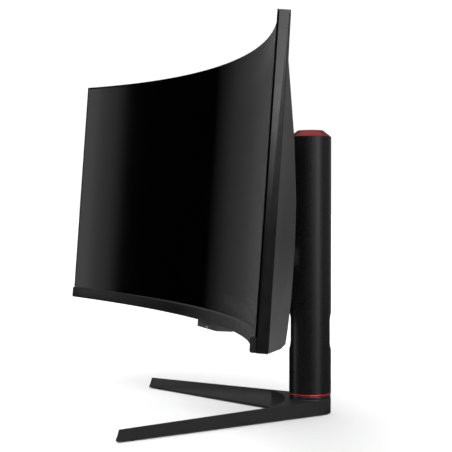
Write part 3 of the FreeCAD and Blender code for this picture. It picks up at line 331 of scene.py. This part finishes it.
SURFACES = {
    "base_black": coated("base_coat", (0.0135, 0.0135, 0.0145), 0.46, 0.42),
    "foot_rubber": moulded("foot_rubber", (0.02, 0.02, 0.02), 0.8),
    "screw_steel": metal("screw_steel", (0.35, 0.35, 0.36), 0.32),
    "cast_alloy": metal("cast_alloy", (0.48, 0.48, 0.49), 0.5, (1, 1, 1)),
    "collar_black": moulded("collar_black", (0.010, 0.010, 0.011), 0.3),
    "red_anodised": anodised("ring_red", (0.60, 0.035, 0.045), 0.32),
    "core_steel": metal("core_steel", (0.25, 0.25, 0.26), 0.4),
    "column_black": moulded(
        "column_black", (0.0045, 0.0045, 0.0048), 0.275,
        grain=1500.0, depth=0.000003, mottle=0.06, uneven=0.01,
    ),
    "liner_black": moulded("liner_black", (0.012, 0.012, 0.013), 0.5),
    "cap_red": anodised("cap_red", (0.165, 0.004, 0.003), 0.34),
    "rod_chrome": metal("rod_chrome", (0.75, 0.75, 0.77), 0.12),
    "spring_steel": metal("spring_steel", (0.22, 0.24, 0.30), 0.22),
    "acetal_white": glossy("acetal_white", (0.70, 0.70, 0.67), 0.3),
    "hinge_black": coated("hinge_coat", (0.013, 0.013, 0.014)),
    "washer_steel": metal("washer_steel", (0.42, 0.42, 0.43), 0.3),
    "plate_zinc": metal("plate_zinc", (0.42, 0.42, 0.40), 0.42, (1, 1, 1)),
    "button_black": moulded("button_black", (0.02, 0.02, 0.021), 0.42),
    "screen": screen_film(),
    "diffuser_white": glossy("diffuser_white", (0.8, 0.8, 0.8), 0.4),
    "guide_clear": glossy("guide_clear", (0.72, 0.76, 0.78), 0.08),
    "board_green": circuit(),
    "pan_alloy": metal("pan_alloy", (0.58, 0.59, 0.60), 0.38, (40, 1, 1)),
    "frame_black": moulded("frame_black", (0.008, 0.008, 0.009), 0.6),
    "rim_grain": rim_grain(),
    "chin_grey": chin_satin(),
    "cover_grey": cover_grain(),
    "socket_nickel": metal("socket_nickel", (0.55, 0.54, 0.52), 0.25),
    "socket_black": moulded("socket_black", (0.012, 0.012, 0.012), 0.4),
    "osd_grey": moulded("osd_grey", (0.060, 0.060, 0.061), 0.45),
    "light_lens": glossy("light_lens", (0.45, 0.46, 0.48), 0.35),
    "stick_black": moulded("stick_black", (0.014, 0.014, 0.014), 0.5),
}


def dress_nodes():
    """Give each CAD piece the material of its slot."""
    for entry in frame["record"]["subparts"]:
        node = nodes[entry["node"]]
        node.data.materials.clear()
        node.data.materials.append(SURFACES[entry["material_slot"]])


# Edges sharper than this are rounded, in degrees, once points closer than this are welded, in metres.
SHARP = 32
WELD_REACH = 0.000002
# Widths of the small rounded edges that the light catches, in millimetres.
EDGES = {
    "base_frame": 0.8,
    "cable_hole_liner": 0.4,
    "top_cap": 0.9,
    "foot_collar": 0.4,
    "chin": 0.35,
    "mid_frame": 0.4,
    "rear_cover": 0.5,
    "osd_housing": 0.5,
    "neck_arm": 0.6,
    "swivel_knuckle": 0.7,
    "tilt_bracket": 0.4,
    "mount_plate": 0.4,
    "release_button": 0.5,
    "joystick_cap": 0.4,
    "swivel_pin": 0.3,
    "tilt_pin": 0.3,
}


def soften_edges():
    """Weld the CAD mesh of each piece in EDGES and round its sharp edges."""
    for name, width in EDGES.items():
        node = nodes[name]
        weld = node.modifiers.new("weld", "WELD")
        weld.merge_threshold = WELD_REACH
        bevel = node.modifiers.new("edge", "BEVEL")
        bevel.width = width * MM
        bevel.segments = 2
        bevel.limit_method = "ANGLE"
        bevel.angle_limit = math.radians(SHARP)


# ---------------------------------------------------------------- small detail on the head


def head_point(x, y, z):
    """A point in the head's own frame, given in millimetres."""
    return Vector((x, y, z)) * MM


# A rib's section, as shares of its width and height, and the share of its width left at its ends.
RIB_SECTION = ((-0.5, -0.4), (-0.5, 0.55), (-0.28, 1.0), (0.28, 1.0), (0.5, 0.55), (0.5, -0.4))
RIB_END = 0.55
# A rib narrows over this share of its width, unless a length is given.
RIB_TAPER = 0.35


def bar(mesh, start, end, up, width, height, taper=None):
    """A low rib with chamfered edges and tapered ends between two points; its sizes are in millimetres."""
    if taper is None:
        taper = width * RIB_TAPER
    ahead = (end - start).normalized()
    side = ahead.cross(up).normalized()
    step = ahead * taper * MM
    rings = []
    for place, size in ((start, RIB_END), (start + step, 1.0), (end - step, 1.0), (end, RIB_END)):
        ring = []
        for across, rise in RIB_SECTION:
            shift = side * (across * width * MM * size) + up * (rise * height * MM)
            ring.append(mesh.verts.new(place + shift))
        rings.append(ring)
    join_rings(mesh, rings)


TURN_STEPS = 36
LOBES = 6


def turned(mesh, centre, out, profile):
    """A shape turned about an outward direction, from each ring's radius, rise and share of lobes."""
    across = out.orthogonal().normalized()
    up = out.cross(across)
    rings = []
    for radius, rise, lobed in profile:
        ring = []
        for number in range(TURN_STEPS):
            angle = 2 * math.pi * number / TURN_STEPS
            reach = radius * MM * (1 + lobed * math.cos(LOBES * angle))
            spoke = across * math.cos(angle) + up * math.sin(angle)
            ring.append(mesh.verts.new(centre + spoke * reach + out * rise * MM))
        rings.append(ring)
    join_rings(mesh, rings)


def join_rings(mesh, rings):
    """Close a row of rings into one solid."""
    count = len(rings[0])
    for first, second in zip(rings, rings[1:]):
        for number in range(count):
            after = (number + 1) % count
            mesh.faces.new((first[number], first[after], second[after], second[number]))
    mesh.faces.new(rings[0])
    mesh.faces.new(rings[-1])


def place_piece(name, mesh, slot, body="head"):
    """Carry a mesh drawn in the head's frame to where it stands at rest, and let it ride on a body."""
    bmesh.ops.transform(mesh, matrix=HEAD, verts=mesh.verts)
    bmesh.ops.recalc_face_normals(mesh, faces=mesh.faces)
    data = bpy.data.meshes.new(name)
    mesh.to_mesh(data)
    mesh.free()
    data.materials.append(SURFACES[slot])
    piece = bpy.data.objects.new(name, data)
    bpy.context.scene.collection.objects.link(piece)
    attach(piece, body)


BACK = Vector((0, 1, 0))
DOWN = Vector((0, 0, -1))
# All places and sizes below are in millimetres in the head's frame.  A reach is half of a length.
HUMP_BACK = 62.0
# The sloping roof of the hump, by depth and height: from its top end to its edge with the flat back.
ROOF_START = (-8.0, 112.0)
ROOF_EDGE = (HUMP_BACK, 70.0)
ROOF_RUN = ROOF_EDGE[0] - ROOF_START[0]
ROOF_DROP = ROOF_START[1] - ROOF_EDGE[1]


def roof_point(x, y):
    """The point of the hump's roof at a place along the screen and a depth."""
    return head_point(x, y, ROOF_START[1] - ROOF_DROP * (y - ROOF_START[0]) / ROOF_RUN)


VENT_DEPTH = 43.0
VENT_BED_REACH = 93.0
VENT_BED_WIDTH = 28.0
SLAT_COUNT = 29
SLAT_PITCH = 6.0
SLAT_REACH = 11.5
RAIL_REACH = 91.0
RAIL_OFFSET = 12.4
SLAT_HEIGHT = 1.1


def make_vents():
    """A row of cooling slots on the hump's roof: a dark bed with slats across it between two rails."""
    up = Vector((0, ROOF_DROP, ROOF_RUN)).normalized()
    bed = bmesh.new()
    start = roof_point(-VENT_BED_REACH, VENT_DEPTH)
    end = roof_point(VENT_BED_REACH, VENT_DEPTH)
    bar(bed, start, end, up, VENT_BED_WIDTH, height=0.25, taper=4.0)
    place_piece("vent_bed", bed, "liner_black")
    ribs = bmesh.new()
    for number in range(SLAT_COUNT):
        x = (number - (SLAT_COUNT - 1) / 2) * SLAT_PITCH
        start = roof_point(x, VENT_DEPTH - SLAT_REACH)
        end = roof_point(x, VENT_DEPTH + SLAT_REACH)
        bar(ribs, start, end, up, width=3.0, height=SLAT_HEIGHT)
    for y in (VENT_DEPTH - RAIL_OFFSET, VENT_DEPTH + RAIL_OFFSET):
        bar(ribs, roof_point(-RAIL_REACH, y), roof_point(RAIL_REACH, y), up, width=2.4, height=SLAT_HEIGHT)
    place_piece("vent_ribs", ribs, "cover_grey")


SCREW_SIDES = (-92, 92)
SCREW_HEIGHTS = (-124, 54)
# Turned profiles: radius, rise and share of lobes of each ring.  The head's socket has six lobes.
COLLAR_PROFILE = (
    (4.0, -0.3, 0),
    (4.0, 0.35, 0),
    (4.5, 0.7, 0),
    (5.5, 0.7, 0),
    (6.2, 0.3, 0),
    (6.2, -0.3, 0),
)
HEAD_PROFILE = (
    (1.35, 0.12, 0.16),
    (1.45, 0.85, 0.16),
    (2.4, 0.8, 0),
    (3.1, 0.45, 0),
    (3.2, -0.3, 0),
)


def make_screw_details():
    """A moulded collar and a head with a six-lobed socket at each of the rear cover's screws."""
    collars = bmesh.new()
    heads = bmesh.new()
    for x in SCREW_SIDES:
        for z in SCREW_HEIGHTS:
            centre = head_point(x, HUMP_BACK, z)
            turned(collars, centre, BACK, COLLAR_PROFILE)
            turned(heads, centre, BACK, HEAD_PROFILE)
    place_piece("screw_collars", collars, "cover_grey")
    place_piece("screw_heads", heads, "screw_steel")


# The lip's middle line, its reach past the corners, its width and its height.
LIP_LINE = 64.5
LIP_REACH = 66.0
LIP_WIDTH = 2.4
LIP_HEIGHT = 0.7
LABEL_REACH = 36
LABEL_LEVEL = -85


def make_recess_trim():
    """A raised lip round the square mount recess, and a blank label below it."""
    lip = bmesh.new()
    for line in (-LIP_LINE, LIP_LINE):
        start = head_point(-LIP_REACH, HUMP_BACK, line)
        end = head_point(LIP_REACH, HUMP_BACK, line)
        bar(lip, start, end, BACK, LIP_WIDTH, LIP_HEIGHT)
        start = head_point(line, HUMP_BACK, -LIP_REACH)
        end = head_point(line, HUMP_BACK, LIP_REACH)
        bar(lip, start, end, BACK, LIP_WIDTH, LIP_HEIGHT)
    place_piece("recess_lip", lip, "cover_grey")
    label = bmesh.new()
    start = head_point(-LABEL_REACH, HUMP_BACK, LABEL_LEVEL)
    end = head_point(LABEL_REACH, HUMP_BACK, LABEL_LEVEL)
    bar(label, start, end, BACK, width=22, height=0.2, taper=1.5)
    place_piece("blank_label", label, "light_lens")


SOCKET_SIDES = (-30, -10, 12, 34)
TONGUE_DEPTH = 52
TONGUE_LEVEL = -100.6
TONGUE_REACH = 5


def make_socket_tongues():
    """The contact tongue inside each video socket."""
    tongues = bmesh.new()
    for x in SOCKET_SIDES:
        start = head_point(x - TONGUE_REACH, TONGUE_DEPTH, TONGUE_LEVEL)
        end = head_point(x + TONGUE_REACH, TONGUE_DEPTH, TONGUE_LEVEL)
        bar(tongues, start, end, DOWN, width=1.4, height=2.0)
    place_piece("socket_tongues", tongues, "socket_black")


BUTTON_FACE = 59.0
BUTTON_RIB_REACH = 6.5
BUTTON_RIB_LEVELS = (-45.9, -44.0, -42.1)
KNOB_LEVEL = -179.5
KNOB_RADIUS = 3.6
KNURL_COUNT = 18
KNURL_START = 31.6
KNURL_END = 33.4


def make_thumb_grips():
    """Ribs on the release button and round the joystick's knob."""
    grips = bmesh.new()
    for z in BUTTON_RIB_LEVELS:
        start = head_point(-BUTTON_RIB_REACH, BUTTON_FACE, z)
        end = head_point(BUTTON_RIB_REACH, BUTTON_FACE, z)
        bar(grips, start, end, BACK, width=1.0, height=0.5)
    place_piece("button_ribs", grips, "button_black", "latch")
    knurls = bmesh.new()
    for number in range(KNURL_COUNT):
        angle = 2 * math.pi * number / KNURL_COUNT
        out = Vector((math.cos(angle), 0, math.sin(angle)))
        start = head_point(0, KNURL_START, KNOB_LEVEL) + out * KNOB_RADIUS * MM
        end = head_point(0, KNURL_END, KNOB_LEVEL) + out * KNOB_RADIUS * MM
        bar(knurls, start, end, out, width=0.6, height=0.22)
    place_piece("knob_knurls", knurls, "stick_black", "stick_cap")


# ---------------------------------------------------------------- studio


# Half of the floor's width, in metres.
FLOOR_REACH = 60.0


def make_floor():
    """A wide white floor, kept out of reflections so that it doesn't wash out the dark object."""
    mesh = bpy.data.meshes.new("floor")
    signs = ((-1, -1), (1, -1), (1, 1), (-1, 1))
    corners = [(x * FLOOR_REACH, y * FLOOR_REACH, 0) for x, y in signs]
    mesh.from_pydata(corners, [], [(0, 1, 2, 3)])
    floor = bpy.data.objects.new("floor", mesh)
    bpy.context.scene.collection.objects.link(floor)
    floor.visible_glossy = False
    recipe = Recipe("floor_paint")
    recipe.tint(recipe.noise(2.0), (0.86, 0.86, 0.86), (0.88, 0.88, 0.88))
    recipe.rough(recipe.noise(6.0), 0.75, 0.85)
    recipe.set(Specular_IOR_Level=0.0)
    mesh.materials.append(recipe.material)


# Brightness of the studio by compass direction, in degrees from +X towards +Y.  The walls reach below
# the horizon: one white panel ahead of the stand, one behind it on the camera's side, and black cloth
# where the screen mirrors the room.
WALLS = (
    (-180, 0.12),
    (-150, 0.04),
    (-136, 0.0),
    (-128, 0.0),
    (-108, 0.0),
    (-101, 0.55),
    (-94, 1.60),
    (-84, 0.50),
    (-70, 0.12),
    (-30, 0.08),
    (8, 0.12),
    (20, 0.50),
    (44, 1.60),
    (64, 0.25),
    (110, 0.20),
    (150, 0.25),
    (180, 0.12),
)
# A bank of lamps above the camera's level, on its side.
BANK = ((-70, 0.0), (-30, 2.4), (10, 3.6), (60, 0.6), (100, 0.0))
# The colour ramps hold brightness as a share of this.
BRIGHTEST = 4.0
# Elevations between which each part of the studio rises or fades, in degrees.
WALL_FOOT = (-11, 0)
WALL_TOP = (30, 50)
BANK_FOOT = (6, 24)
BANK_TOP = (28, 50)
CEILING_EDGE = (35, 65)
# Brightness of the soft ceiling, and of the backdrop that only the camera sees.
CEILING = 1.35
BACKDROP = 1.05


def ramp_stops(ramp, stops):
    """Fill a colour ramp with grey stops at given places."""
    while len(ramp.elements) < len(stops):
        ramp.elements.new(0.5)
    for element, (place, grey) in zip(ramp.elements, stops):
        element.position = place
        element.color = (grey, grey, grey, 1)


def make_world():
    """White to the camera; as light, walls of uneven brightness under a soft white ceiling."""
    world = bpy.data.worlds.new("studio")
    bpy.context.scene.world = world
    world.use_nodes = True
    tree = world.node_tree

    def made(kind, inputs=(), **settings):
        node = tree.nodes.new(kind)
        for name, value in settings.items():
            setattr(node, name, value)
        for name, value in inputs:
            if isinstance(value, bpy.types.NodeSocket):
                tree.links.new(value, node.inputs[name])
            else:
                node.inputs[name].default_value = value
        return node

    place = made("ShaderNodeTexCoord").outputs["Generated"]
    parts = made("ShaderNodeSeparateXYZ", [(0, place)]).outputs

    def joined(operation, first, second):
        return made("ShaderNodeMath", [(0, first), (1, second)], operation=operation).outputs[0]

    compass = joined("ARCTAN2", parts["Y"], parts["X"])
    turn = made("ShaderNodeMapRange", [("Value", compass), ("From Min", -math.pi), ("From Max", math.pi)])

    def around(stops):
        """Brightness by compass direction, as a share of the brightest."""
        ramp = made("ShaderNodeValToRGB", [("Fac", turn.outputs[0])])
        ramp.color_ramp.interpolation = "EASE"
        ramp_stops(ramp.color_ramp, [((angle + 180) / 360, grey / BRIGHTEST) for angle, grey in stops])
        return ramp.outputs["Color"]

    def risen(span, start, finish):
        """A value that goes smoothly from start to finish over a span of elevation."""
        low, high = (math.sin(math.radians(angle)) for angle in span)
        limits = [("From Min", low), ("From Max", high), ("To Min", start), ("To Max", finish)]
        rise = made("ShaderNodeMapRange", [("Value", parts["Z"])] + limits, interpolation_type="SMOOTHSTEP")
        return rise.outputs[0]

    walls = joined("MULTIPLY", around(WALLS), risen(WALL_TOP, BRIGHTEST, 0.5))
    walls = joined("MULTIPLY", walls, risen(WALL_FOOT, 0.2, 1.0))
    bank = joined("MULTIPLY", around(BANK), risen(BANK_FOOT, 0.0, BRIGHTEST))
    bank = joined("MULTIPLY", bank, risen(BANK_TOP, 1.0, 0.0))
    whole = joined("ADD", joined("ADD", walls, bank), risen(CEILING_EDGE, 0.0, CEILING))
    dim = tree.nodes["Background"]
    dim.inputs["Color"].default_value = (1, 1, 1, 1)
    tree.links.new(whole, dim.inputs["Strength"])
    white = made("ShaderNodeBackground", [("Color", (1, 1, 1, 1)), ("Strength", BACKDROP)])
    seen = made("ShaderNodeLightPath").outputs["Is Camera Ray"]
    mix = made("ShaderNodeMixShader", [("Fac", seen)])
    tree.links.new(dim.outputs[0], mix.inputs[1])
    tree.links.new(white.outputs[0], mix.inputs[2])
    tree.links.new(mix.outputs[0], tree.nodes["World Output"].inputs["Surface"])


# The camera's lens and sensor in millimetres, its place in metres, and its aim in degrees: the heading
# is counted from +Y towards -X, and the dip is how far it looks down.
LENS = 89.68
SENSOR = 36.0
CAMERA_PLACE = (1.5794, -0.0716, 0.2853)
CAMERA_HEADING = 91.68
CAMERA_DIP = 0.851


def make_camera():
    """A long lens at the head's level, on the side that the screen is turned towards."""
    lens = bpy.data.cameras.new("camera")
    lens.sensor_width = SENSOR
    lens.lens = LENS
    lens.clip_start = 0.05
    lens.clip_end = 100.0
    camera = bpy.data.objects.new("camera", lens)
    bpy.context.scene.collection.objects.link(camera)
    camera.location = CAMERA_PLACE
    heading = math.radians(CAMERA_HEADING)
    dip = math.radians(CAMERA_DIP)
    ahead = Vector((
        -math.sin(heading) * math.cos(dip),
        math.cos(heading) * math.cos(dip),
        -math.sin(dip),
    ))
    camera.rotation_euler = ahead.to_track_quat("-Z", "Y").to_euler()
    bpy.context.scene.camera = camera


# The overhead lamp's strength, and in degrees how wide it is and how far it leans.
LAMP_STRENGTH = 1.6
LAMP_WIDTH = 70
LAMP_LEAN = (8, 12, 0)


def make_lights():
    """One wide soft lamp overhead, which lights the floor evenly as far as it goes."""
    lamp = bpy.data.lights.new("overhead", "SUN")
    lamp.energy = LAMP_STRENGTH
    lamp.angle = math.radians(LAMP_WIDTH)
    light = bpy.data.objects.new("overhead", lamp)
    bpy.context.scene.collection.objects.link(light)
    light.rotation_euler = [math.radians(angle) for angle in LAMP_LEAN]
    light.visible_glossy = False


dress_nodes()
soften_edges()
make_vents()
make_screw_details()
make_recess_trim()
make_socket_tongues()
make_thumb_grips()
make_floor()
make_world()
make_camera()
make_lights()
bpy.context.scene.view_settings.view_transform = "Standard"
